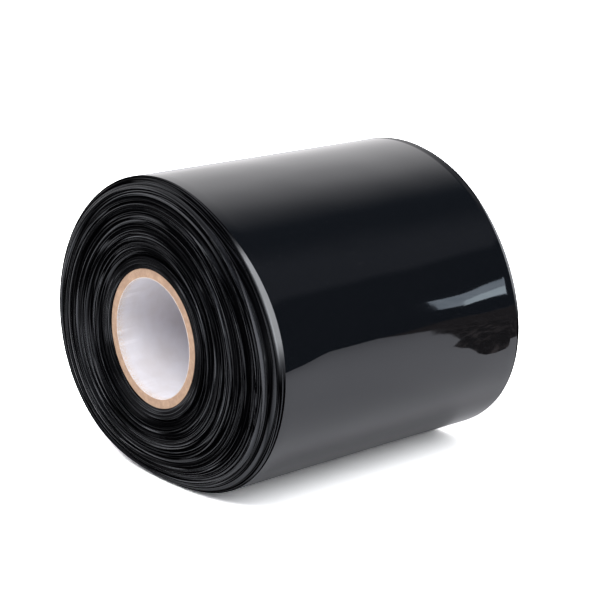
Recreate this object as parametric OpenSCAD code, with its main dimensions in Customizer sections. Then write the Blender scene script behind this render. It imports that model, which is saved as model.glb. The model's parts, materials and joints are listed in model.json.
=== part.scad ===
// Roll of glossy black shrink film, wound on a cardboard core and lying on its side.
// The core's axis runs along X, and the end that stands out faces -X.
// The origin is on the floor, in the middle of the flat that the roll rests on.

/* [Core] */
// Bore of the core, sized for a three inch mandrel
bore_d = 76; // [50:1:110]
// Thickness of the white paper that lines the bore
liner_t = 0.4; // [0.2:0.1:1.5]
// Thickness of the brown board around the lining
board_t = 5.6; // [3:0.1:12]
// Length of the core
core_len = 200; // [120:1:300]

/* [Film] */
// Width of the film, which every turn keeps
film_w = 200; // [120:1:300]
// Mean thickness of all the turns together
build = 62.5; // [40:0.5:100]
// Thickness of the flattened film, which shows as the step at its free end
film_t = 0.3; // [0.1:0.1:1]
// Where the free end lies, measured from the top towards the back
tail_a = 145; // [100:1:170]

/* [Settled shape] */
// How far the roll has sunk at the top and spread at the sides
sag = 9.2; // [0:0.1:12]
// How far the belly of the roll hangs lower and the top stands prouder
droop = 2.8; // [0:0.1:4]
// Width of the flat that the roll's own weight has pressed
flat_w = 30; // [15:1:45]
// How far the middle turns have gone oval
oval = 2; // [0:0.1:4]
// Which way the oval stands, measured from the top towards the back
oval_a = -15; // [-90:1:90]

/* [Wound ends] */
// How far the core stands out past the outermost turn
dome = 6.8; // [0:0.1:12]
// How far the middle turns stand out past the line from core to rim
crown = 2.2; // [0:0.1:6]
// Width of the tight smooth collar of turns beside the core
collar_w = 7.5; // [4:0.1:10]
// Width of the groove around the collar
groove_w = 4.5; // [2:0.1:7]
// Depth of the groove around the collar
groove_depth = 2.2; // [0.5:0.1:4]
// Number of ridges that the edges of the turns make
ridges = 18; // [8:1:20]
// How much wider the outermost ridge is than the innermost one
ridge_spread = 1; // [0:0.1:2]
// Height of the strongest ridges beside the groove
inner_relief = 1; // [0.2:0.1:2]
// Height of the strongest ridges at the rim
outer_relief = 2; // [0.4:0.1:3]
// How far a ridge sways in and out, as a share of its width
sway = 0.3; // [0:0.05:0.4]
// Rounding of the folded edge of the outermost turn
edge_r = 1.2; // [0.6:0.1:2]
// Extra rounding where the outermost turn has gone slack
slack_r = 4; // [0:0.1:6]
// Where the slack is, measured from the top towards the back
slack_a = -75; // [-100:1:-50]

/* [Hidden] */
$fn = 96;

// Flats around each turn, and the angle between two of them
flats = 64;
step_a = 360 / flats;

// Radii of the core, from the inside out
bore_r = bore_d / 2;
liner_r = bore_r + liner_t;
core_r = liner_r + board_t;

// Height of the core's axis above the floor
flat_a = asin(flat_w / 2 / rim_r(180));
axis_z = rim_r(180 - flat_a) * cos(flat_a);

// The film is built a little way into the bore and above the floor, and then cut true
waste = 1;

// Shares of the build taken by the collar and by the groove
collar_share = collar_w / build;
groove_share = groove_w / build;
ridges_from = collar_share + groove_share;

// The wave that a turn's edge follows, and how far it is turned from ridge to ridge
wave_parts = [1, 0.7, 0.5];
wave_turn = 47;

// Every second ridge is only this strong
minor_ridge = 0.45;

// Half the angle over which the outermost turn is slack
slack_reach = 50;

// Outside of the roll at an angle from the top, before the flat is pressed
function rim_r(a) = core_r + build - sag * cos(2 * a) + droop * cos(3 * a);

// Radius of the turn at share t of the build: round at the core, oval in the middle of the
// build and settled at the rim
function turn_r(t, a) =
    core_r + t * (rim_r(a) - core_r) + oval * sin(180 * t) * cos(2 * (a - oval_a));

// How far the wound end stands out past the plane of the rim at share t of the build
function stand_out(t) = dome * (1 - pow(t, 3)) + crown * sqrt(sin(180 * min(t, 1)));

// A smooth wave between -1 and 1 around one turn, different for each ridge
function wave(k, a) =
    let (b = a + wave_turn * k)
    (wave_parts * [sin(b), sin(2 * b), sin(3 * b)]) / (wave_parts * [1, 1, 1]);

// Place of ridge k as a share of the build, at its foot when k is whole and its crest at half
function ridge_t(k, a) =
    let (
        u = k / ridges,
        place = u * (1 + ridge_spread * u) / (1 + ridge_spread),
        width = (1 + 2 * ridge_spread * u) / (1 + ridge_spread) / ridges,
        moved = sway * width * wave(k, a) * min(1, k, ridges - k)
    )
    ridges_from + (ridges_to(a) - ridges_from) * (place + moved);

// Height of ridge k above its foot
function relief(k, a) =
    let (
        full = inner_relief + (outer_relief - inner_relief) * k / ridges,
        strength = k % 2 < 1 ? 1 : minor_ridge
    )
    full * strength * (0.75 + 0.25 * wave(k + ridges, a));

// Rounding of the outermost turn's edge at an angle from the top
function rim_round(a) =
    let (away = abs((a - slack_a + 540) % 360 - 180) / slack_reach)
    edge_r + (away < 1 ? slack_r * pow(cos(90 * away), 2) : 0);

// Share of the build where the ridges end, a little inside the rounded edge
function ridges_to(a) = 1 - (edge_r + rim_round(a)) / build;

// Rows across the wound end, each a radius and how far it stands out past the rim
function end_rows(a) = concat(
    [
        [core_r - waste, stand_out(0)],
        [turn_r(collar_share / 4, a), stand_out(collar_share / 4)],
        [turn_r(collar_share, a), stand_out(collar_share)],
        [turn_r(collar_share + groove_share / 4, a), stand_out(collar_share) - groove_depth]
    ],
    [
        for (k = [0 : ridges - 1]) each [
            end_row(ridge_t(k, a), 0, a),
            end_row(ridge_t(k + 0.5, a), relief(k + 0.5, a), a)
        ]
    ],
    [end_row(ridge_t(ridges, a), 0, a)]
);
function end_row(t, height, a) = [turn_r(t, a), stand_out(t) + height];

// Rows around the edge of the outermost turn, with how far each is set back from the rim
function edge_rows(a) = [
    for (b = [0, 45, 90])
        let (r = rim_round(a))
        [rim_r(a) - r * (1 - sin(b)), r * (1 - cos(b))]
];

// A point of the roll from its radius, its angle from the top and its place along the axis
function on_roll(r, a, x) = [x, r * sin(a), axis_z + r * cos(a)];

// One closed profile of the roll: out across the near end, along the outside and back in.
// The film keeps its width, so the far end is hollow by what the near end stands out.
function profile(a, outset) =
    let (ends = end_rows(a), edges = edge_rows(a), n = len(ends) - 1, m = len(edges) - 1)
    concat(
        [for (p = ends) on_roll(p[0], a, -film_w / 2 - p[1])],
        [for (p = edges) on_roll(p[0] + outset, a, -film_w / 2 + p[1])],
        [for (i = [m : -1 : 0]) on_roll(edges[i][0] + outset, a, film_w / 2 - edges[i][1])],
        [for (i = [n : -1 : 0]) on_roll(ends[i][0], a, film_w / 2 - ends[i][1])]
    );

// All the turns as one winding. The outermost turn climbs by the film's thickness from its
// start to its free end, so only its rows have a point of their own in the last column.
module winding() {
    rows = len(profile(0, 0));
    end_count = len(end_rows(0));
    columns = flats + 1;
    function steps(i) = i >= end_count && i < rows - end_count;
    function at(i, j) = (i % rows) * columns + (j == flats && !steps(i % rows) ? 0 : j % columns);
    profiles = [for (j = [0 : flats]) profile(tail_a + j * step_a, film_t * j / flats)];
    points = [for (i = [0 : rows - 1]) for (j = [0 : flats]) profiles[j][i]];
    skin = [
        for (i = [0 : rows - 1]) for (j = [0 : flats - 1]) each [
            [at(i, j), at(i + 1, j), at(i, j + 1)],
            [at(i, j + 1), at(i + 1, j), at(i + 1, j + 1)]
        ]
    ];
    free_end = [
        for (i = [end_count - 1 : rows - end_count - 1]) each [
            [at(i, flats), at(i + 1, flats), at(i, 0)],
            [at(i, 0), at(i + 1, flats), at(i + 1, 0)]
        ]
    ];
    whole = [for (f = concat(skin, free_end)) if (f[0] != f[1] && f[1] != f[2] && f[2] != f[0]) f];
    polyhedron(points, whole, convexity = 20);
}

// A straight tube along the core's axis, in line with the turns beside it
module core_sleeve(outer_r, inner_r) {
    translate([-dome, 0, axis_z])
        rotate([0, 90, 0])
            difference() {
                cylinder(r = outer_r, h = core_len, center = true);
                cylinder(r = inner_r, h = core_len + 2 * waste, center = true);
            }
}

// The wound film, cut true to the core and to the floor
module film_roll() {
    long = film_w + 4 * (dome + crown + outer_relief);
    wide = 4 * (core_r + build);
    color([0.05, 0.05, 0.06])
        difference() {
            winding();
            translate([-long / 2, 0, axis_z])
                rotate([0, 90, 0])
                    cylinder(r = core_r, h = long);
            translate([-long / 2, -wide / 2, -wide])
                cube([long, wide, wide]);
        }
}

// The wall of the core, brown board
module core_tube() {
    color([0.76, 0.6, 0.44])
        core_sleeve(core_r, liner_r);
}

// The innermost ply of the core, white paper
module core_liner() {
    color([0.93, 0.93, 0.94])
        core_sleeve(liner_r, bore_r);
}

film_roll();
core_tube();
core_liner();
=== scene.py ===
"""A wide roll of glossy black shrink film on a cardboard core, lying on a white studio floor."""
from __future__ import annotations

import json
import logging
import math
from collections.abc import Callable
from dataclasses import dataclass, fields
from enum import Enum

import bmesh
import bpy
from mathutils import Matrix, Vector

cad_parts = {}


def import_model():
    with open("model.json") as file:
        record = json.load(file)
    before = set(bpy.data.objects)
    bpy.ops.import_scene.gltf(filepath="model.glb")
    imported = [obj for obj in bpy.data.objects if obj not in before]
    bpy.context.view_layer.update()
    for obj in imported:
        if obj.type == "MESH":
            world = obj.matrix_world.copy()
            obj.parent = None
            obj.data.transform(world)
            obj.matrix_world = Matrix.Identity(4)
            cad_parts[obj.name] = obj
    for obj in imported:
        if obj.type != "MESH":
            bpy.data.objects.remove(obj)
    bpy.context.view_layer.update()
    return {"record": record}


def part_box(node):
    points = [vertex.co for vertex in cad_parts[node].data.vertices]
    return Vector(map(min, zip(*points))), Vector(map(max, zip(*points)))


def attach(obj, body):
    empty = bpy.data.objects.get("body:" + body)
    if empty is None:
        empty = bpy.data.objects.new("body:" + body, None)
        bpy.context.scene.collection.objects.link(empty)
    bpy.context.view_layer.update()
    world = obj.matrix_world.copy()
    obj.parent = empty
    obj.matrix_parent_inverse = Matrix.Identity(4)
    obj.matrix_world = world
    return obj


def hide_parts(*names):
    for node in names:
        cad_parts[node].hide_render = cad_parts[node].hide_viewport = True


LOG = logging.getLogger("shrink_wrap_roll")
BODY = "root"
MM_PER_M = 1000.0
CM3_PER_M3 = 1e6

Colour = tuple[float, float, float]
Point = tuple[float, float, float]


def method(operation: str, swapped: bool = False) -> Callable[..., Field]:
    """Return a Field's method that makes one Math node.

    Args:
        operation: what the node does.
        swapped: whether the field comes after the other value.
    """

    def made(self: Field, *others: Number) -> Field:
        """Return the node's result."""
        values = (*others, self) if swapped else (self, *others)
        return self.graph.maths(operation, *values)

    return made


class Field:
    """A node's output socket that takes part in Python sums.

    A comparison gives 1 or 0, and size() is the value without its sign.
    """

    def __init__(self, graph: Graph, socket: bpy.types.NodeSocket) -> None:
        """Keep the socket and the graph that new Math nodes go into."""
        self.graph = graph
        self.socket = socket

    __add__ = method("ADD")
    __radd__ = method("ADD", swapped=True)
    __sub__ = method("SUBTRACT")
    __rsub__ = method("SUBTRACT", swapped=True)
    __mul__ = method("MULTIPLY")
    __rmul__ = method("MULTIPLY", swapped=True)
    __truediv__ = method("DIVIDE")
    __pow__ = method("POWER")
    __mod__ = method("FLOORED_MODULO")
    __lt__ = method("LESS_THAN")
    __gt__ = method("GREATER_THAN")
    sin = method("SINE")
    cos = method("COSINE")
    floor = method("FLOOR")
    size = method("ABSOLUTE")
    at_least = method("MAXIMUM")
    at_most = method("MINIMUM")

    def circle(self, radius: float) -> tuple[Field, Field]:
        """Return the cosine and the sine, both times a radius."""
        return self.cos() * radius, self.sin() * radius

    def share(self) -> Field:
        """Return the value held between 0 and 1."""
        return self.at_least(0.0).at_most(1.0)

    def lifted(self, least: float) -> Field:
        """Return a value of 0 to 1 moved into least to 1."""
        return least + (1.0 - least) * self

    def step(self, low: float, high: float) -> Field:
        """Return a smooth step from 0 at low to 1 at high."""
        values = {"Value": self, "From Min": low, "From Max": high}
        made = self.graph.node("ShaderNodeMapRange", {"interpolation_type": "SMOOTHSTEP"}, values)
        return made.out("Result")


Number = Field | float | int


class Made:
    """A node that has been made, with its outputs by name."""

    def __init__(self, graph: Graph, node: bpy.types.Node) -> None:
        """Keep the node and the graph that it is in."""
        self.graph = graph
        self.node = node

    def out(self, name: str) -> Field:
        """Return the first output of that name that is in use."""
        return Field(self.graph, next(s for s in self.node.outputs if s.name == name and s.enabled))


class Graph:
    """A node tree that is built from Python expressions."""

    def __init__(self, tree: bpy.types.NodeTree) -> None:
        """Keep the tree to fill and remove its old nodes."""
        self.tree = tree
        tree.nodes.clear()

    def node(self, kind: str, settings: dict[str, object] | None = None,
             values: dict[str, object] | None = None) -> Made:
        """Make one node.

        Args:
            kind: the node's type.
            settings: the node's own settings, which are set first.
            values: a value, or a field to link, for each named socket.

        Returns:
            The node that was made.
        """
        node = self.tree.nodes.new(kind)
        for name, value in (settings or {}).items():
            setattr(node, name, value)
        for name, value in (values or {}).items():
            socket = next(s for s in node.inputs if s.name == name and s.enabled)
            if isinstance(value, Field):
                self.tree.links.new(value.socket, socket)
            elif socket.type == "RGBA":
                socket.default_value = (*value, 1.0)
            else:
                socket.default_value = value
        return Made(self, node)

    def maths(self, operation: str, *values: Number) -> Field:
        """Return the result of a Math node that does an operation on its values."""
        made = self.tree.nodes.new("ShaderNodeMath")
        made.operation = operation
        for socket, value in zip(made.inputs, values):
            if isinstance(value, Field):
                self.tree.links.new(value.socket, socket)
            else:
                socket.default_value = value
        return Field(self, made.outputs[0])

    def point(self, x: Number, y: Number, z: Number) -> Field:
        """Return a vector of three numbers."""
        return self.node("ShaderNodeCombineXYZ", None, {"X": x, "Y": y, "Z": z}).out("Vector")

    def parts(self, vector: Field) -> tuple[Field, Field, Field]:
        """Return the three numbers of a vector."""
        made = self.node("ShaderNodeSeparateXYZ", None, {"Vector": vector})
        return made.out("X"), made.out("Y"), made.out("Z")

    def noise(self, place: Field, scale: float = 1.0, detail: float = 2.0,
              roughness: float = 0.5) -> Field:
        """Return smooth noise of about 0 to 1.

        Args:
            place: where the noise is read.
            scale: how many lumps there are to a unit of place.
            detail: how many finer layers are added.
            roughness: how strong the finer layers are.

        Returns:
            The noise.
        """
        values = {"Vector": place, "Scale": scale, "Detail": detail, "Roughness": roughness}
        return self.node("ShaderNodeTexNoise", None, values).out("Fac")

    def mix(self, amount: Number, low: object, high: object) -> Field:
        """Return a colour between two colours."""
        values = {"Factor": amount, "A": low, "B": high}
        return self.node("ShaderNodeMix", {"data_type": "RGBA"}, values).out("Result")

    def blend(self, amount: Number, low: Field, high: Field) -> Field:
        """Return a shader between two shaders."""
        made = self.node("ShaderNodeMixShader")
        for socket, field in zip(made.node.inputs, (amount, low, high)):
            self.tree.links.new(field.socket, socket)
        return made.out("Shader")

    def attribute(self, name: str) -> Field:
        """Return a number that the mesh carries."""
        return self.node("ShaderNodeAttribute", {"attribute_name": name}).out("Fac")

    def place(self) -> Field:
        """Return the place on the object, in metres."""
        return self.node("ShaderNodeTexCoord").out("Object")

    def from_axis(self, axis_height: float) -> tuple[Field, Field, Field]:
        """Return the distance from the core's axis, and its parts along Y and Z."""
        _, y, z = self.parts(self.place())
        z = z - axis_height
        return (y * y + z * z) ** 0.5, y, z

    def stretched(self, place: Field, along: float, around: float) -> Field:
        """Return a place scaled along the roll by one number and around it by another."""
        x, y, z = self.parts(place)
        return self.point(x * along, y * around, z * around)

    def bump(self, height: Field, distance: float, below: Field | None = None) -> Field:
        """Return a normal that is tilted by a height.

        Args:
            height: the relief.
            distance: how high a relief of 1 is, in metres.
            below: the normal that the relief lies on.

        Returns:
            The normal.
        """
        values: dict[str, object] = {"Height": height, "Distance": distance, "Strength": 1.0}
        if below is not None:
            values["Normal"] = below
        return self.node("ShaderNodeBump", None, values).out("Normal")


@dataclass(frozen=True)
class Sizes:
    """Sizes that become a Geometry Nodes tree's named inputs, in metres and radians."""

    def items(self) -> list[tuple[str, float]]:
        """Return each size's field name with its value."""
        return [(item.name, getattr(self, item.name)) for item in fields(self)]


class ShapeTree(Graph):
    """A Geometry Nodes tree with a named input for each size.

    Points closer than WELD are sewn together, and edges past CREASE stay sharp.
    """

    WELD = 2e-6
    CREASE = math.radians(40.0)

    def __init__(self, name: str, sizes: Sizes, whole: dict[str, int]) -> None:
        """Start a tree.

        Args:
            name: the tree's name.
            sizes: the sizes that become inputs.
            whole: whole numbers that become inputs, such as the number of columns.
        """
        super().__init__(bpy.data.node_groups.new(name, "GeometryNodeTree"))
        self.values: dict[str, float | int] = {}
        group = self.tree.interface
        group.new_socket("Geometry", in_out="OUTPUT", socket_type="NodeSocketGeometry")
        for key, value in sizes.items():
            self._add_input(key, value, "NodeSocketFloat")
        for key, value in whole.items():
            self._add_input(key, value, "NodeSocketInt")
        self.inputs = self.node("NodeGroupInput")

    def _add_input(self, key: str, value: float | int, kind: str) -> None:
        """Add one named input and keep the value that it gets."""
        name = key.replace("_", " ").capitalize()
        socket = self.tree.interface.new_socket(name, in_out="INPUT", socket_type=kind)
        self.values[socket.identifier] = value

    def size(self, key: str) -> Field:
        """Return the input that was made from a field name."""
        return self.inputs.out(key.replace("_", " ").capitalize())

    def sheet(self, rows: Number, columns: Number) -> tuple[Field, Field, Field]:
        """Make a flat sheet of rows and columns.

        Args:
            rows: the number of rows of points.
            columns: the number of columns of points.

        Returns:
            The sheet, its share across the rows and its share across the columns.
        """
        values = {"Size X": 1.0, "Size Y": 1.0, "Vertices X": rows, "Vertices Y": columns}
        mesh = self.node("GeometryNodeMeshGrid", None, values).out("Mesh")
        across, along, _ = self.parts(self.node("GeometryNodeInputPosition").out("Position"))
        return mesh, across + 0.5, along + 0.5

    def keep(self, mesh: Field, name: str, value: Field) -> Field:
        """Store a number on each point of the mesh, under a name."""
        settings = {"data_type": "FLOAT", "domain": "POINT"}
        values = {"Geometry": mesh, "Name": name, "Value": value}
        return self.node("GeometryNodeStoreNamedAttribute", settings, values).out("Geometry")

    def move(self, mesh: Field, place: Field) -> Field:
        """Put each point of the mesh at a place."""
        values = {"Geometry": mesh, "Position": place}
        return self.node("GeometryNodeSetPosition", None, values).out("Geometry")

    def dress(self, mesh: Field, material: bpy.types.Material, where: Field | None = None) -> Field:
        """Give the mesh a material, all over or only where a field is 1."""
        values = {"Geometry": mesh, "Material": material}
        if where is not None:
            values["Selection"] = where
        return self.node("GeometryNodeSetMaterial", None, values).out("Geometry")

    def end(self, sheets: list[Field]) -> None:
        """Sew the finished sheets together and end the tree."""
        joined = self.node("GeometryNodeJoinGeometry")
        for sheet in reversed(sheets):
            self.tree.links.new(sheet.socket, joined.node.inputs[0])
        values = {"Geometry": joined.out("Geometry"), "Distance": self.WELD}
        sewn = self.node("GeometryNodeMergeByDistance", None, values).out("Geometry")
        angle = self.node("GeometryNodeInputMeshEdgeAngle").out("Unsigned Angle")
        values = {"Geometry": sewn, "Shade Smooth": True}
        smooth = self.node("GeometryNodeSetShadeSmooth", {"domain": "FACE"}, values).out("Geometry")
        values = {"Geometry": smooth, "Selection": angle > self.CREASE, "Shade Smooth": False}
        made = self.node("GeometryNodeSetShadeSmooth", {"domain": "EDGE"}, values).out("Geometry")
        real = self.node("GeometryNodeRealizeInstances", None, {"Geometry": made}).out("Geometry")
        self.node("NodeGroupOutput", None, {"Geometry": real})

    def piece(self, name: str) -> bpy.types.Object:
        """Run the tree once and turn the result into a plain mesh.

        Args:
            name: the new piece's name.

        Returns:
            The piece, with no modifier left on it.
        """
        holder = bpy.data.objects.new(name, bpy.data.meshes.new(name + "_start"))
        bpy.context.scene.collection.objects.link(holder)
        modifier = holder.modifiers.new("shape", "NODES")
        modifier.node_group = self.tree
        for identifier, value in self.values.items():
            modifier[identifier] = value
        graph = bpy.context.evaluated_depsgraph_get()
        start = holder.data
        mesh = bpy.data.meshes.new_from_object(
            holder.evaluated_get(graph), preserve_all_data_layers=True, depsgraph=graph)
        holder.modifiers.clear()
        holder.data = mesh
        mesh.name = name
        bpy.data.meshes.remove(start)
        close_shell(mesh)
        return holder


def close_shell(mesh: bpy.types.Mesh) -> None:
    """Turn the faces of a closed mesh outwards and log what it is made of."""
    shell = bmesh.new()
    shell.from_mesh(mesh)
    bmesh.ops.recalc_face_normals(shell, faces=shell.faces[:])
    loose = sum(1 for edge in shell.edges if len(edge.link_faces) != 2)
    if shell.calc_volume(signed=True) < 0:
        bmesh.ops.reverse_faces(shell, faces=shell.faces[:])
    LOG.info("%s: %d faces, %d open edges, %.1f cm3", mesh.name, len(shell.faces), loose,
             shell.calc_volume() * CM3_PER_M3)
    shell.to_mesh(mesh)
    shell.free()


class WoundEnd(Enum):
    """The two wound ends of the roll, with the side of the roll that each is on."""

    NEAR = -1.0
    FAR = 1.0


@dataclass(frozen=True)
class RollSizes(Sizes):
    """Sizes of the wound film, the same as those of its solid."""

    core_radius: float
    axis_height: float
    film_width: float = 0.2
    build: float = 0.0625
    film_thickness: float = 0.0003
    tail_angle: float = math.radians(145.0)
    sag: float = 0.0092
    droop: float = 0.0028
    oval: float = 0.002
    oval_angle: float = math.radians(-15.0)
    dome: float = 0.0068
    crown: float = 0.0022
    collar_width: float = 0.0075
    groove_width: float = 0.0045
    groove_depth: float = 0.0022
    ridges: float = 18.0
    ridge_spread: float = 1.0
    inner_relief: float = 0.001
    outer_relief: float = 0.002
    sway: float = 0.3
    edge_rounding: float = 0.0012
    slack_rounding: float = 0.004
    slack_angle: float = math.radians(-75.0)
    wall_wave: float = 0.0003


@dataclass(frozen=True)
class RollFineness:
    """How finely the wound film is divided."""

    columns: int = 240
    near_rows_per_ridge: int = 12
    far_rows_per_ridge: int = 6
    near_collar_rows: int = 26
    far_collar_rows: int = 14
    edge_rows: int = 7
    wall_rows: int = 26


class WindingTree(ShapeTree):
    """The tree that makes all the turns of film as one closed shell.

    A streak makes a crest uneven, a notch parts a strong ridge into two bundles, and a ripple
    runs over the outermost turn. The slack fold fades in over a range of rows and of angles.
    """

    WAVE_PARTS = (1.0, 0.7, 0.5)
    WAVE_TURN = math.radians(47.0)
    RIDGE_NUDGE = 1e-4
    MINOR_RIDGE = 0.45
    RELIEF_MEAN = 0.75
    RELIEF_SWING = 0.25
    STREAK_ACROSS = 2.7
    STREAK_AROUND = 1.1
    STREAK_LEAST = 0.8
    STREAK_GAIN = 0.4
    NOTCH_PLACE = 0.46
    NOTCH_REACH = 0.09
    NOTCH_DEPTH = 0.45
    GROOVE_FALL = 0.25
    GROOVE_SHADE = 0.4
    RIPPLE_ALONG = 4.3
    RIPPLE_AROUND = 2.6
    SLACK_REACH = math.radians(50.0)
    SLACK_SHOWN = (0.15, 0.6)
    SLACK_ROWS = (3.0, 5.0)
    SLACK_ENDS = (math.radians(275.0) - 0.12, math.radians(275.0) + 0.12)

    def __init__(self, sizes: RollSizes, fineness: RollFineness, seed: int,
                 edges: bpy.types.Material, wall: bpy.types.Material) -> None:
        """Build the tree.

        Args:
            sizes: the sizes of the roll.
            fineness: how finely it is divided.
            seed: the seed of the turns' small irregularities.
            edges: the finish of the turns' edges on both ends.
            wall: the finish of the outermost turn.
        """
        super().__init__("wound_turns", sizes, {"columns": fineness.columns, "seed": seed})
        self.fineness = fineness
        self.edges = edges
        self.wall = wall
        collar = self.size("collar_width") / self.size("build")
        groove = self.size("groove_width") / self.size("build")
        self.collar_share = collar
        self.groove_share = groove
        self.ridges_from = collar + groove
        sheets = [self._outside()]
        for end in WoundEnd:
            sheets.append(self._ridged_part(end))
            sheets.append(self._collar_part(end))
        sheets.append(self._bore())
        self.end(sheets)

    def _rim(self, angle: Field) -> Field:
        """Return the outside radius at an angle from the top."""
        round_part = self.size("core_radius") + self.size("build")
        return (round_part - self.size("sag") * (angle * 2.0).cos()
                + self.size("droop") * (angle * 3.0).cos())

    def _turn(self, share: Field, angle: Field) -> Field:
        """Return the radius of the turn at a share of the build."""
        core = self.size("core_radius")
        lean = ((angle - self.size("oval_angle")) * 2.0).cos()
        oval = self.size("oval") * (share * math.pi).sin() * lean
        return core + share * (self._rim(angle) - core) + oval

    def _rounding(self, angle: Field) -> Field:
        """Return how far the edge of the outermost turn is rounded."""
        away = ((angle - self.size("slack_angle") + math.pi) % math.tau - math.pi).size()
        slack = ((away / self.SLACK_REACH).at_most(1.0) * (math.pi / 2)).cos() ** 2.0
        return self.size("edge_rounding") + self.size("slack_rounding") * slack

    def _ridges_to(self, angle: Field) -> Field:
        """Return the share of the build where the ridges end."""
        edge = self.size("edge_rounding") + self._rounding(angle)
        return 1.0 - edge / self.size("build")

    def _stand_out(self, share: Field) -> Field:
        """Return how far the wound end stands out at a share of the build."""
        arch = (share.at_most(1.0) * math.pi).sin().at_least(0.0) ** 0.5
        return self.size("dome") * (1.0 - share ** 3.0) + self.size("crown") * arch

    def _wave(self, ridge: Field, angle: Field) -> Field:
        """Return a smooth wave around one turn, different for each ridge."""
        turned = angle + ridge * self.WAVE_TURN
        waves = [part * (turned * float(i + 1)).sin() for i, part in enumerate(self.WAVE_PARTS)]
        return (waves[0] + waves[1] + waves[2]) / sum(self.WAVE_PARTS)

    def _ridge_share(self, ridge: Field, angle: Field) -> Field:
        """Return the place of a ridge as a share of the build."""
        count = self.size("ridges")
        spread = self.size("ridge_spread")
        part = ridge / count
        place = part * (1.0 + spread * part) / (1.0 + spread)
        width = (1.0 + 2.0 * spread * part) / (1.0 + spread) / count
        held = ridge.at_most(count - ridge).at_most(1.0)
        moved = self.size("sway") * width * self._wave(ridge, angle) * held
        return self.ridges_from + (self._ridges_to(angle) - self.ridges_from) * (place + moved)

    def _around(self, along: Field) -> Field:
        """Return the angle from the top for a share across the columns."""
        return self.size("tail_angle") + along * math.tau

    def _at(self, x: Field, radius: Field, angle: Field) -> Field:
        """Return a point of the roll, never under the floor."""
        height = self.size("axis_height") + radius * angle.cos()
        return self.point(x, radius * angle.sin(), height.at_least(0.0))

    def _relief(self, ridge: Field, odd: Field, angle: Field) -> Field:
        """Return the full height of a whole ridge, which is less where odd is 1."""
        middle = ridge + 0.5
        least = self.size("inner_relief")
        full = least + (self.size("outer_relief") - least) * middle / self.size("ridges")
        strength = 1.0 - (1.0 - self.MINOR_RIDGE) * odd
        wave = self._wave(middle + self.size("ridges"), angle)
        return full * strength * (self.RELIEF_MEAN + self.RELIEF_SWING * wave)

    def _ridged_part(self, end: WoundEnd) -> Field:
        """Make the ridged part of a wound end, in place and with its finish."""
        near = end is WoundEnd.NEAR
        per_ridge = self.fineness.near_rows_per_ridge if near else self.fineness.far_rows_per_ridge
        rows = self.size("ridges") * float(per_ridge) + 1.0
        mesh, across, along = self.sheet(rows, self.size("columns") + 1.0)
        angle = self._around(along)
        ridge = across * self.size("ridges")
        whole = (ridge + self.RIDGE_NUDGE).floor()
        odd = whole % 2.0
        lobe = self._lobe((ridge - whole).at_least(0.0), odd)
        place = ridge * self.STREAK_ACROSS + self.size("seed")
        place = self.point(place, *angle.circle(self.STREAK_AROUND))
        streak = self.noise(place, 1.0, 2.0, 0.6)
        crest = (lobe * (self.STREAK_LEAST + self.STREAK_GAIN * streak)).at_most(1.0)
        share = self._ridge_share(ridge, angle)
        stand = self._stand_out(share) + self._relief(whole, odd, angle) * crest
        # The crest also sets where the finish paints shade deep between the turns; on the far end
        # the relief sinks, so it is turned over there.
        return self._end_sheet(end, mesh, share, angle, stand, crest if near else 1.0 - crest)

    def _end_sheet(self, end: WoundEnd, mesh: Field, share: Field, angle: Field, stand: Field,
                   crest: Field) -> Field:
        """Put a sheet of a wound end in place.

        Args:
            end: which end.
            mesh: the flat sheet.
            share: how far out each point is, as a share of the build.
            angle: the angle of each point from the top.
            stand: how far each point stands out past the rim.
            crest: 1 on what faces outwards freely and 0 deep between the turns, where the finish
                paints shade.

        Returns:
            The sheet, with its crest, its depth and its finish.
        """
        x = self.size("film_width") * (0.5 * end.value) - stand
        placed = self.keep(self.keep(mesh, "crest", crest), "depth", self._depth(share))
        placed = self.move(placed, self._at(x, self._turn(share, angle), angle))
        return self.dress(placed, self.edges)

    def _depth(self, share: Field) -> Field:
        """Return how far out from the core a share of the build is, in millimetres."""
        return share * self.size("build") * MM_PER_M

    def _lobe(self, part: Field, odd: Field) -> Field:
        """Return the height across a ridge: two bundles of turns, or one where odd is 1."""
        single = (part * math.pi).sin().at_least(0.0) ** 0.5
        notch = 1.0 - ((part - self.NOTCH_PLACE).size() / self.NOTCH_REACH).share()
        return single * (1.0 - self.NOTCH_DEPTH * notch * (1.0 - odd))

    def _collar_part(self, end: WoundEnd) -> Field:
        """Make the smooth collar beside the core and the groove around it."""
        near = end is WoundEnd.NEAR
        rows = self.fineness.near_collar_rows if near else self.fineness.far_collar_rows
        mesh, across, along = self.sheet(rows, self.size("columns") + 1.0)
        share = across * self.ridges_from
        fall = self.groove_share * self.GROOVE_FALL
        over = ((share - self.collar_share) / fall).step(0.0, 1.0)
        out_of = ((share - self.collar_share - fall) / (self.groove_share - fall)).share()
        bottom = self._stand_out(self.collar_share) - self.size("groove_depth")
        slope = bottom + (self._stand_out(self.ridges_from) - bottom) * out_of
        stand = self._stand_out(share.at_most(self.collar_share)) * (1.0 - over) + slope * over
        # The crest falls in the groove, so the finish paints shade into it.
        crest = 1.0 - over * (1.0 - out_of * self.GROOVE_SHADE)
        return self._end_sheet(end, mesh, share, self._around(along), stand, crest)

    def _slack_shown(self, inset: Field, rounding: Field, angle: Field) -> Field:
        """Return 1 where the slack fold of the outermost turn shows, and so where its highlight is
        painted, and 0 elsewhere.
        """
        slack = (rounding - self.size("edge_rounding")) / self.size("slack_rounding")
        first, full = self.SLACK_ROWS
        on_rows = ((inset - first) / (full - first)).share()
        return slack.step(*self.SLACK_SHOWN) * on_rows * angle.step(*self.SLACK_ENDS)

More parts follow.
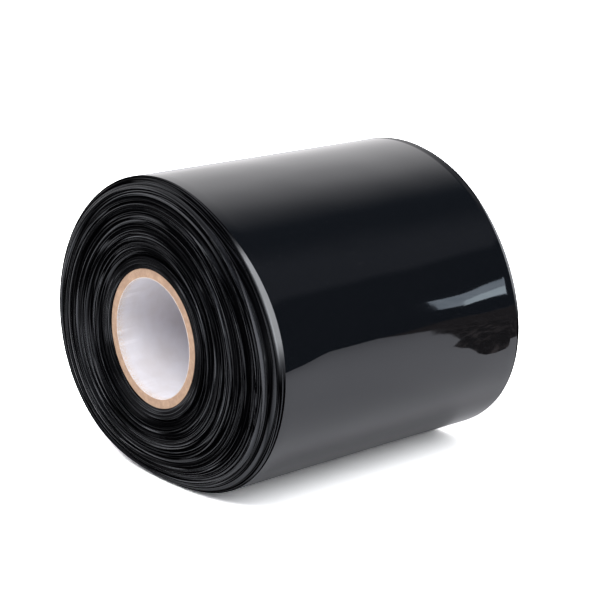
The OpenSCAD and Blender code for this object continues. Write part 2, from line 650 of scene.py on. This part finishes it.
    def _outside(self) -> Field:
        """Make the outermost turn, with its rounded edges and the step at its free end."""
        turn = float(self.fineness.edge_rows)
        wall_from = turn + 1.0
        wall_rows = float(self.fineness.wall_rows)
        last = 2.0 * wall_from + wall_rows
        columns = self.size("columns")
        mesh, across, along = self.sheet(int(last) + 1, columns + 2.0)
        row = across * last
        column = along * (columns + 1.0)
        wound = column.at_most(columns) / columns
        angle = self._around(wound)
        climb = self.size("film_thickness") * wound * (1.0 - (column - columns).share())
        inset = row.at_most(last - row)
        bend = ((inset - 1.0) / turn).share() * (math.pi / 2)
        rounding = self._rounding(angle)
        along_wall = ((row - wall_from) / wall_rows).share()
        middle = (along_wall * math.pi).sin().at_least(0.0) ** 0.5
        place = along_wall * self.RIPPLE_ALONG + self.size("seed")
        ripple = self.noise(self.point(place, *angle.circle(self.RIPPLE_AROUND)), 1.0, 1.0)
        core = self.size("core_radius")
        rim = self._rim(angle)
        radius = rim - rounding * (1.0 - bend.sin()) + climb
        radius = radius - self.size("wall_wave") * middle * ripple
        foot = (1.0 - inset).share()
        ridges_to = self._ridges_to(angle)
        radius = radius + foot * (self._turn(ridges_to, angle) - radius)
        half = self.size("film_width") * 0.5
        sign = 2.0 * (across > 0.5) - 1.0
        x_edge = sign * (half - rounding * (1.0 - bend.cos()))
        x_wall = (2.0 * along_wall - 1.0) * (half - rounding)
        x_foot = sign * half - self._stand_out(ridges_to)
        x = x_wall + (inset < turn + 1.5) * (x_edge - x_wall)
        x = x + foot * (x_foot - x)
        dressed = self.dress(self.dress(mesh, self.wall), self.edges, inset < wall_from)
        # The slack attribute marks where the finish paints the slack fold's highlight.
        placed = self.keep(dressed, "slack", self._slack_shown(inset, rounding, angle))
        # The foot of the outermost turn gets a low crest, so the finish paints shade there.
        placed = self.keep(placed, "crest", 1.0 - foot)
        placed = self.keep(placed, "depth", self._depth((radius - core) / (rim - core)))
        return self.move(placed, self._at(x, radius, angle))

    def _bore(self) -> Field:
        """Make the inside of the winding, which lies on the core."""
        mesh, across, along = self.sheet(2, self.size("columns") + 1.0)
        angle = self._around(along)
        x = self.size("film_width") * (across - 0.5) - self.size("dome")
        placed = self.move(mesh, self._at(x, self.size("core_radius"), angle))
        return self.dress(placed, self.edges)


@dataclass(frozen=True)
class SleeveSizes(Sizes):
    """Sizes of one straight ply or wall of the core."""

    inner_radius: float
    outer_radius: float
    near_end: float
    far_end: float
    axis_height: float
    end_roughness: float
    edge_fray: float


class SleeveTree(ShapeTree):
    """The tree that makes one tube of the core, with rough cut ends and a frayed inner edge."""

    ROWS_A_SIDE = 12
    COLUMNS = 240
    CUT_LUMPS = 9.0
    CUT_ACROSS = 2.5
    FRAY_LUMPS = 22.0
    FRAY_SEED = 3.0
    FRAY_WITHIN = 6.0
    FRAY_OUT = 0.5

    def __init__(self, name: str, sizes: SleeveSizes, seed: int,
                 finish: bpy.types.Material) -> None:
        """Build the tree.

        Args:
            name: the tree's name.
            sizes: the sizes of the tube.
            seed: the seed of the rough ends.
            finish: the tube's material.
        """
        super().__init__(name, sizes, {"columns": self.COLUMNS, "seed": seed})
        mesh, across, along = self.sheet(4 * self.ROWS_A_SIDE + 1, self.size("columns") + 1.0)
        angle = along * math.tau
        side = across * 4.0
        wall = self.size("outer_radius") - self.size("inner_radius")
        length = self.size("far_end") - self.size("near_end")
        out = side.share() - (side - 2.0).share()
        on = (side - 1.0).share() - (side - 3.0).share()
        rows = float(self.ROWS_A_SIDE)
        near = (1.0 - on * rows).share()
        far = (1.0 - (1.0 - on) * rows).share()
        place = out * self.CUT_ACROSS + self.size("seed")
        place = self.point(*angle.circle(self.CUT_LUMPS), place)
        cut = self.noise(place, 1.0, 3.0, 0.65)
        place = self.point(*angle.circle(self.FRAY_LUMPS), self.size("seed") * self.FRAY_SEED)
        fray = self.noise(place, 1.0, 3.0, 0.7).step(0.45, 0.8)
        fray = fray * (1.0 - out * self.FRAY_WITHIN).share() * self.size("edge_fray")
        sunk = cut * self.size("end_roughness") + fray
        x = self.size("near_end") + length * on + sunk * near - sunk * far
        radius = self.size("inner_radius") + wall * out + fray * (near + far) * self.FRAY_OUT
        height = self.size("axis_height") + radius * angle.cos()
        placed = self.keep(mesh, "cut", near.at_least(far))
        placed = self.move(placed, self.point(x, radius * angle.sin(), height))
        self.end([self.dress(placed, finish)])


@dataclass(frozen=True)
class FilmFinish:
    """Glossy black film, as the outermost turn shows it."""

    colour: Colour = (0.0024, 0.0026, 0.0032)
    dust: Colour = (0.03, 0.031, 0.034)
    tint: Colour = (0.93, 0.95, 1.0)
    ior: float = 1.57
    roughness: float = 0.03
    mark_roughness: float = 0.12
    grain_roughness: float = 0.02
    specks: float = 900.0
    speck_strength: float = 0.5
    scuff_along: float = 60.0
    scuff_around: float = 420.0
    scuff_patches: float = 26.0
    scuff_strength: float = 0.25
    grain: float = 160.0
    grain_height: float = 0.000006
    wave_along: float = 14.0
    wave_around: float = 24.0
    wave_height: float = 0.0006
    lip_height: float = 0.0017
    lip_from: float = 0.0930
    lip_to: float = 0.0990
    lip_lowest: float = 0.140
    lip_full: float = 0.158
    twist: float = 0.09
    twist_from: float = -0.058
    twist_to: float = -0.098
    twist_about: float = 0.105
    twist_reach: float = 0.03

    def material(self) -> bpy.types.Material:
        """Return the wall's material."""
        material, graph = new_material("film_wall")
        place = graph.place()
        x, _, z = graph.parts(place)
        wave = graph.noise(graph.stretched(place, self.wave_along, self.wave_around), 1.0, 1.0)
        grain = graph.noise(place, self.grain, 2.0)
        speck = graph.noise(place, self.specks, 1.0).step(0.74, 0.8)
        scuff = graph.noise(
            graph.stretched(place, self.scuff_along, self.scuff_around), 1.0, 3.0, 0.6)
        scuff = scuff.step(0.62, 0.8) * graph.noise(place, self.scuff_patches, 1.0).step(0.55, 0.7)
        marks = (speck * self.speck_strength + scuff * self.scuff_strength).share()
        lip = x.step(self.lip_from, self.lip_to) * z.step(self.lip_lowest, self.lip_full)
        above = z - self.twist_about
        bell = (1.0 - (above / self.twist_reach) ** 2.0).share() ** 2.0
        twist = x.step(self.twist_from, self.twist_to) * above * bell * -self.twist
        height = lip * self.lip_height + twist + wave * self.wave_height
        height = height + grain * self.grain_height
        values = {
            "Base Color": graph.mix(marks, self.colour, self.dust),
            "Roughness": self.roughness + self.mark_roughness * marks
                         + self.grain_roughness * grain,
            "IOR": self.ior,
            "Specular Tint": self.tint,
            "Normal": graph.bump(height, 1.0),
        }
        return finish_material(material, graph, values)


@dataclass(frozen=True)
class Rings:
    """Noise in rings around the core.

    pitch is the mean width of a ring in millimetres, change is how much it wanders around the
    core, and width is how wide a line drawn from it is, in units of the noise.
    """

    pitch: float
    change: float
    width: float = 0.0


@dataclass(frozen=True)
class TurnEdgeFinish:
    """The edges of the turns on the wound ends: thin glossy folds, with near-black painted shade in
    the gaps between them and a painted highlight on the slack fold.
    """

    # Near-black colour of the gaps between the folds, a painted shade where the turns shade each
    # other.
    gap: Colour = (0.0006, 0.0006, 0.0008)
    fold: Colour = (0.012, 0.0125, 0.0145)
    # Pale grey of the slack fold, a painted highlight where the loose outermost turn curls in.
    slack_fold: Colour = (0.17, 0.173, 0.18)
    tint: Colour = (0.9, 0.94, 1.0)
    ior: float = 1.65
    fold_roughness: float = 0.2
    slack_smoothness: float = 0.05
    gap_roughness: float = 0.8
    line_height: float = 0.0002
    thread: Rings = Rings(2.1, 0.5, 0.055)
    hair: Rings = Rings(0.9, 0.8, 0.08)
    hair_strength: float = 0.6
    bundle: Rings = Rings(5.0, 0.9)
    arc: Rings = Rings(40.0, 1.6)
    wide_fold: float = 55.6
    wide_fold_width: float = 2.4
    collar: float = 7.5
    collar_blur: float = 0.5
    axis_height: float = 0.094

    def material(self) -> bpy.types.Material:
        """Return the wound ends' material."""
        material, graph = new_material("film_turn_edges")
        depth = graph.attribute("depth")
        crest = graph.attribute("crest").share()
        slack = graph.attribute("slack")
        thread = self._lines(graph, depth, self.thread)
        hair = self._lines(graph, depth, self.hair)
        bundle = self._noise(graph, depth, self.bundle).step(0.35, 0.62)
        arc = self._noise(graph, depth, self.arc).step(0.35, 0.65)
        lines = thread.at_least(self.hair_strength * hair * bundle.lifted(0.35))
        # Lines fade where the crest is low, a painted shade deep between the turns.
        lines = lines * crest.lifted(0.25) * bundle.lifted(0.4)
        wide = 1.0 - ((depth - self.wide_fold).size() / (self.wide_fold_width / 2)).step(0.6, 1.0)
        lines = lines.at_least(wide * (0.3 + 0.6 * hair) * bundle.lifted(0.3))
        # The collar's lines fade where the crest is low too, the same painted shade.
        collar = (0.1 + 0.7 * hair) * (0.25 + 0.45 * arc) * crest
        away = depth.step(self.collar - self.collar_blur, self.collar + self.collar_blur)
        # lit is 1 where the glossy folds show; elsewhere the near-black, unshiny finish paints the
        # shade deep between the turns.
        lit = (collar + (lines - collar) * away).at_least(slack)
        height = (thread * 0.7 + hair * 0.3) * (1.0 - slack)
        glossy = graph.node("ShaderNodeBsdfPrincipled", None, {
            # On the slack fold the finish is glossy all over and a pale colour paints its
            # highlight.
            "Base Color": graph.mix(slack ** 2.0, self.fold, self.slack_fold),
            "Roughness": self.fold_roughness - self.slack_smoothness * slack,
            "IOR": self.ior,
            "Specular Tint": self.tint,
            "Normal": graph.bump(height, self.line_height),
        }).out("BSDF")
        # This near-black finish without a reflection is painted shade between the turns, not the
        # film's own colour.
        black = graph.node("ShaderNodeBsdfPrincipled", None, {
            "Base Color": self.gap,
            "Roughness": self.gap_roughness,
            "Specular IOR Level": 0.0,
        }).out("BSDF")
        return finish_shader(material, graph, graph.blend(lit, black, glossy))

    def _lines(self, graph: Graph, depth: Field, rings: Rings) -> Field:
        """Return thin lines around the core, 1 on a line and 0 between lines."""
        away = (self._noise(graph, depth, rings) - 0.5).size()
        return 1.0 - away.step(rings.width * 0.3, rings.width)

    def _noise(self, graph: Graph, depth: Field, rings: Rings) -> Field:
        """Return noise that runs in rings, at a depth from the core in millimetres."""
        radius, y, z = graph.from_axis(self.axis_height)
        return graph.noise(graph.point(
            depth / rings.pitch, y / radius * rings.change, z / radius * rings.change), 1.0, 0.0)


@dataclass(frozen=True)
class BoardFinish:
    """Brown board of the core, with its plies and fibres where it is cut."""

    colour: Colour = (0.37, 0.245, 0.175)
    dark: Colour = (0.29, 0.175, 0.11)
    pale: Colour = (0.49, 0.335, 0.235)
    axis_height: float = 0.094
    ply: float = 0.0009
    ply_wander: float = 1.5
    ply_tone: float = 0.18
    mottle_height: float = 0.0003
    fibre_height: float = 0.00012
    fibre_tone: float = 0.55

    def material(self) -> bpy.types.Material:
        """Return the board's material."""
        material, graph = new_material("core_board_cut")
        place = graph.place()
        radius, _, _ = graph.from_axis(self.axis_height)
        wander = graph.noise(place, 60.0, 2.0) * self.ply_wander
        plies = ((radius / self.ply + wander) * math.tau).sin() * 0.5 + 0.5
        mottle = graph.noise(place, 240.0, 4.0, 0.65)
        fibre = graph.noise(place, 1500.0, 3.0, 0.7)
        dark = fibre.step(0.52, 0.72) * self.fibre_tone + plies.step(0.6, 1.0) * self.ply_tone
        tone = graph.mix(mottle.step(0.35, 0.7), self.colour, self.pale)
        normal = graph.bump(mottle, self.mottle_height)
        return finish_material(material, graph, {
            "Base Color": graph.mix(dark, tone, self.dark),
            "Roughness": 0.88 + 0.08 * fibre,
            "Specular IOR Level": 0.25,
            "Normal": graph.bump(fibre, self.fibre_height, normal),
        })


@dataclass(frozen=True)
class PaperFinish:
    """White paper that lines the core."""

    colour: Colour = (0.74, 0.725, 0.77)
    warm: Colour = (0.68, 0.65, 0.67)
    fray: Colour = (0.62, 0.47, 0.36)
    fray_tone: float = 0.8
    fibre_tone: float = 0.2
    fibre_height: float = 0.00004

    def material(self) -> bpy.types.Material:
        """Return the paper's material."""
        material, graph = new_material("core_paper_lining")
        place = graph.place()
        cloud = graph.noise(place, 55.0, 3.0, 0.6)
        fibre = graph.noise(place, 1200.0, 3.0, 0.7)
        cut = graph.attribute("cut")
        tone = graph.mix(cloud.step(0.3, 0.75), self.colour, self.warm)
        tone = graph.mix(fibre.step(0.6, 0.8) * self.fibre_tone, tone, self.warm)
        frayed = cut.step(0.6, 1.0) * fibre.step(0.4, 0.6) * self.fray_tone
        return finish_material(material, graph, {
            "Base Color": graph.mix(frayed, tone, self.fray),
            "Roughness": 0.72 + 0.1 * fibre,
            "Specular IOR Level": 0.35,
            "Normal": graph.bump(fibre, self.fibre_height),
        })


def new_material(name: str) -> tuple[bpy.types.Material, Graph]:
    """Make an empty node material and the graph that fills it."""
    material = bpy.data.materials.new(name)
    material.use_nodes = True
    return material, Graph(material.node_tree)


def finish_material(material: bpy.types.Material, graph: Graph,
                    values: dict[str, object]) -> bpy.types.Material:
    """Add a shader with these values by socket name, and return the finished material."""
    return finish_shader(
        material, graph, graph.node("ShaderNodeBsdfPrincipled", None, values).out("BSDF"))


def finish_shader(material: bpy.types.Material, graph: Graph, shader: Field) -> bpy.types.Material:
    """Add the output behind a shader and return the finished material."""
    graph.node("ShaderNodeOutputMaterial", None, {"Surface": shader})
    return material


def stand_for(piece: bpy.types.Object, node: str) -> None:
    """Tie a finished piece to the body and hide the solid that it shows."""
    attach(piece, BODY)
    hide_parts(node)
    LOG.info("%s stands for %s, %d triangles", piece.name, node,
             sum(len(face.vertices) - 2 for face in piece.data.polygons))


@dataclass
class WoundFilm:
    """All the turns of film."""

    sizes: RollSizes
    fineness: RollFineness
    seed: int = 11

    def build(self) -> None:
        """Make the turns and dress them."""
        height = self.sizes.axis_height
        edges = TurnEdgeFinish(axis_height=height).material()
        wall = FilmFinish().material()
        tree = WindingTree(self.sizes, self.fineness, self.seed, edges, wall)
        stand_for(tree.piece("wound_film"), "film_roll")


@dataclass
class Core:
    """The cardboard core: its board wall and its white lining."""

    bore_radius: float
    board_seed: int = 5
    board_roughness: float = 0.00035
    board_fray: float = 0.0004
    lining_seed: int = 13
    lining_roughness: float = 0.0003
    lining_fray: float = 0.0008

    def build(self) -> None:
        """Make both tubes and dress them."""
        low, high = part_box("core_tube")
        _, lining_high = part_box("core_liner")
        height = (low.z + high.z) / 2
        lining_radius = lining_high.z - height
        sizes = SleeveSizes(lining_radius, (high.z - low.z) / 2, low.x, high.x, height,
                            self.board_roughness, self.board_fray)
        finish = BoardFinish(axis_height=height).material()
        tree = SleeveTree("board_tube", sizes, self.board_seed, finish)
        stand_for(tree.piece("core_board_tube"), "core_tube")
        sizes = SleeveSizes(self.bore_radius, lining_radius, low.x, high.x, height,
                            self.lining_roughness, self.lining_fray)
        tree = SleeveTree("lining_tube", sizes, self.lining_seed, PaperFinish().material())
        stand_for(tree.piece("core_paper_lining"), "core_liner")


class MetBy(Enum):
    """Which light a panel of the room takes part in."""

    MIRRORING = "mirroring"
    BOUNCE = "bounce"


@dataclass(frozen=True)
class Panel:
    """A flat panel of the room around the roll, with its corners in metres and two tones."""

    name: str
    corners: tuple[Point, ...]
    glow: Colour
    mottle: Colour
    met_by: MetBy = MetBy.MIRRORING


PANELS = (
    Panel("strip_lamp", (
        (0.97, -1.097, 0.430), (1.023, -1.068, 0.455), (1.079, -1.019, 0.521),
        (1.094, -1.025, 0.491), (1.099, -1.047, 0.426), (1.098, -1.071, 0.342),
        (1.095, -1.089, 0.261), (1.049, -1.102, 0.290), (1.012, -1.117, 0.281),
        (0.973, -1.130, 0.292)), (2.1, 2.4, 2.7), (1.7, 2.0, 2.3)),
    Panel("strip_lamp_tube", (
        (1.003, -1.095, 0.334), (1.065, -1.053, 0.400), (1.079, -1.059, 0.360),
        (1.081, -1.070, 0.312), (1.077, -1.079, 0.270), (1.063, -1.081, 0.291),
        (1.003, -1.109, 0.261)), (4.0, 4.6, 4.9), (3.4, 4.0, 4.4)),
    Panel("dark_things", (
        (4.9, -5.99, 0.004), (5.99, -5.0, 0.004), (0.80, -0.66, 0.004), (0.40, -0.31, 0.004),
        (0.30, -0.235, 0.004), (0.247, -0.251, 0.004), (0.219, -0.224, 0.004),
        (0.199, -0.206, 0.004), (0.185, -0.200, 0.004), (0.177, -0.203, 0.004),
        (0.180, -0.219, 0.004), (0.206, -0.262, 0.004), (0.210, -0.275, 0.004),
        (0.232, -0.311, 0.004), (0.283, -0.362, 0.004), (0.372, -0.472, 0.004),
        (0.491, -0.619, 0.004), (0.850, -1.028, 0.004)), (0.08, 0.07, 0.07), (0.34, 0.29, 0.29)),
    Panel("window", (
        (-1.34, -0.62, 0.85), (-0.98, -0.96, 0.85), (-0.94, -1.51, 0.1), (-1.44, -1.16, 0.1)),
        (2.6, 2.65, 2.7), (2.3, 2.35, 2.4)),
    Panel("far_flag", (
        (0.18, -0.12, 0.002), (0.18, 0.12, 0.002), (0.18, 0.12, 0.22), (0.18, -0.12, 0.22)),
        (0.03, 0.03, 0.03), (0.03, 0.03, 0.03), MetBy.BOUNCE),
)


@dataclass
class Studio:
    """Camera, floor, backdrop and lamps."""

    camera_place: Point = (-0.7187, -0.8714, 0.4156)
    azimuth: float = math.radians(-39.986)
    elevation: float = math.radians(15.623)
    lens: float = 107.98
    sensor_width: float = 36.0
    floor_side: float = 12.0
    floor_drop: float = 0.0002
    floor_seen: Colour = (2.4, 2.4, 2.4)
    floor_mirrored: Colour = (0.8, 0.8, 0.83)
    floor_lit_by: Colour = (0.8, 0.8, 0.8)
    overhead: float = 0.9
    overhead_from: Point = (0.2, -0.65, 0.7)
    overhead_spread: float = math.radians(75.0)
    softbox_radiance: float = 17.5
    softbox_place: Point = (-1.0, -0.35, 1.45)
    softbox_aim: Point = (0.0, 0.0, 0.09)
    softbox_size: tuple[float, float] = (0.5, 0.9)
    room_dim: Colour = (0.042, 0.058, 0.082)
    room_front: Colour = (0.15, 0.165, 0.2)
    room_top: Colour = (0.35, 0.35, 0.37)
    backdrop: Colour = (1.38, 1.36, 1.38)

    def build(self) -> None:
        """Make everything that isn't part of the roll."""
        self._camera()
        self._floor()
        self._surroundings()
        self._lamps()

    def _camera(self) -> None:
        """Make the camera and look through it."""
        data = bpy.data.cameras.new("camera")
        data.lens = self.lens
        data.sensor_width = self.sensor_width
        camera = bpy.data.objects.new("camera", data)
        camera.location = self.camera_place
        camera.rotation_euler = (math.pi / 2 - self.elevation, 0.0, self.azimuth)
        bpy.context.scene.collection.objects.link(camera)
        bpy.context.scene.camera = camera

    def _floor(self) -> None:
        """Make the white floor, which keeps the roll's shadow."""
        half = self.floor_side / 2
        mesh = bpy.data.meshes.new("floor")
        mesh.from_pydata([(-half, -half, 0), (half, -half, 0), (half, half, 0), (-half, half, 0)],
                         [], [(0, 1, 2, 3)])
        floor = bpy.data.objects.new("floor", mesh)
        floor.location.z = -self.floor_drop
        bpy.context.scene.collection.objects.link(floor)
        material, graph = new_material("white_floor")
        path = graph.node("ShaderNodeLightPath")
        seen = path.out("Is Camera Ray").at_least(path.out("Is Transmission Ray"))
        shade = graph.mix(path.out("Is Glossy Ray"), self.floor_lit_by, self.floor_mirrored)
        shade = graph.mix(seen, shade, self.floor_seen)
        matt = graph.node("ShaderNodeBsdfDiffuse", None, {"Color": shade}).out("BSDF")
        floor.data.materials.append(finish_shader(material, graph, matt))

    def _surroundings(self) -> None:
        """Make the white backdrop behind the roll and the dim room in front of it."""
        world = bpy.data.worlds.new("studio")
        world.use_nodes = True
        bpy.context.scene.world = world
        graph = Graph(world.node_tree)
        path = graph.node("ShaderNodeLightPath")
        _, back, up = graph.parts(graph.node("ShaderNodeTexCoord").out("Generated"))
        front = up.step(0.50, 0.56) * (-1.0 * back).step(0.1, 0.4)
        room = graph.mix(front, self.room_dim, self.room_front)
        room = graph.mix(up.step(0.9, 0.97), room, self.room_top)
        around = graph.mix(back.step(-0.02, 0.62), room, self.backdrop)
        shown = graph.mix(path.out("Is Camera Ray"), around, (1.0, 1.0, 1.0))
        light = graph.node("ShaderNodeBackground", None, {"Color": shown, "Strength": 1.0})
        graph.node("ShaderNodeOutputWorld", None, {"Surface": light.out("Background")})

    def _lamps(self) -> None:
        """Make the soft lamps and what the wall mirrors of the room."""
        data = bpy.data.lights.new("overhead", "SUN")
        data.energy = self.overhead * math.pi
        data.angle = self.overhead_spread
        lamp = bpy.data.objects.new("overhead", data)
        lamp.rotation_euler = (-Vector(self.overhead_from)).to_track_quat("-Z", "Y").to_euler()
        lamp.visible_glossy = False
        bpy.context.scene.collection.objects.link(lamp)
        self._softbox()
        for panel in PANELS:
            self._mirrored(panel)

    def _mirrored(self, panel: Panel) -> None:
        """Make a panel that only the film's mirroring or only the bounced light takes up."""
        mesh = bpy.data.meshes.new(panel.name)
        mesh.from_pydata(panel.corners, [], [tuple(range(len(panel.corners)))])
        item = bpy.data.objects.new(panel.name, mesh)
        bpy.context.scene.collection.objects.link(item)
        item.visible_camera = False
        item.visible_glossy = panel.met_by is MetBy.MIRRORING
        item.visible_diffuse = panel.met_by is MetBy.BOUNCE
        item.visible_transmission = False
        item.visible_shadow = False
        material, graph = new_material(panel.name)
        x, y, z = graph.parts(graph.place())
        patches = graph.noise(graph.point((x + y) * 90.0, (x - y) * 9.0, z * 9.0), 1.0, 2.0)
        patches = patches.step(0.48, 0.66)
        glow = graph.mix(patches, panel.glow, panel.mottle)
        light = graph.node("ShaderNodeEmission", None, {"Color": glow, "Strength": 1.0})
        mesh.materials.append(finish_shader(material, graph, light.out("Emission")))

    def _softbox(self) -> None:
        """Make the area lamp at the front left. A radiance of 1 would be white."""
        width, height = self.softbox_size
        data = bpy.data.lights.new("front_left", "AREA")
        data.shape = "RECTANGLE"
        data.size = width
        data.size_y = height
        data.energy = self.softbox_radiance * math.pi * width * height
        lamp = bpy.data.objects.new("front_left", data)
        lamp.location = self.softbox_place
        lamp.visible_glossy = False
        toward = Vector(self.softbox_aim) - Vector(self.softbox_place)
        lamp.rotation_euler = toward.to_track_quat("-Z", "Y").to_euler()
        bpy.context.scene.collection.objects.link(lamp)


def main() -> None:
    """Build the roll in its studio."""
    logging.basicConfig(level=logging.INFO, format="%(name)s: %(message)s")
    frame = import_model()
    bpy.context.scene.view_settings.view_transform = "Standard"
    bores = [m for m in frame["record"]["mounts"] if m["kind"] == "bore"]
    board_low, board_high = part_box("core_tube")
    sizes = RollSizes(core_radius=(board_high.z - board_low.z) / 2,
                      axis_height=(board_high.z + board_low.z) / 2)
    WoundFilm(sizes, RollFineness()).build()
    Core(bores[0]["dims"]["r_mm"] / MM_PER_M).build()
    Studio().build()


if __name__ == "__main__":
    main()
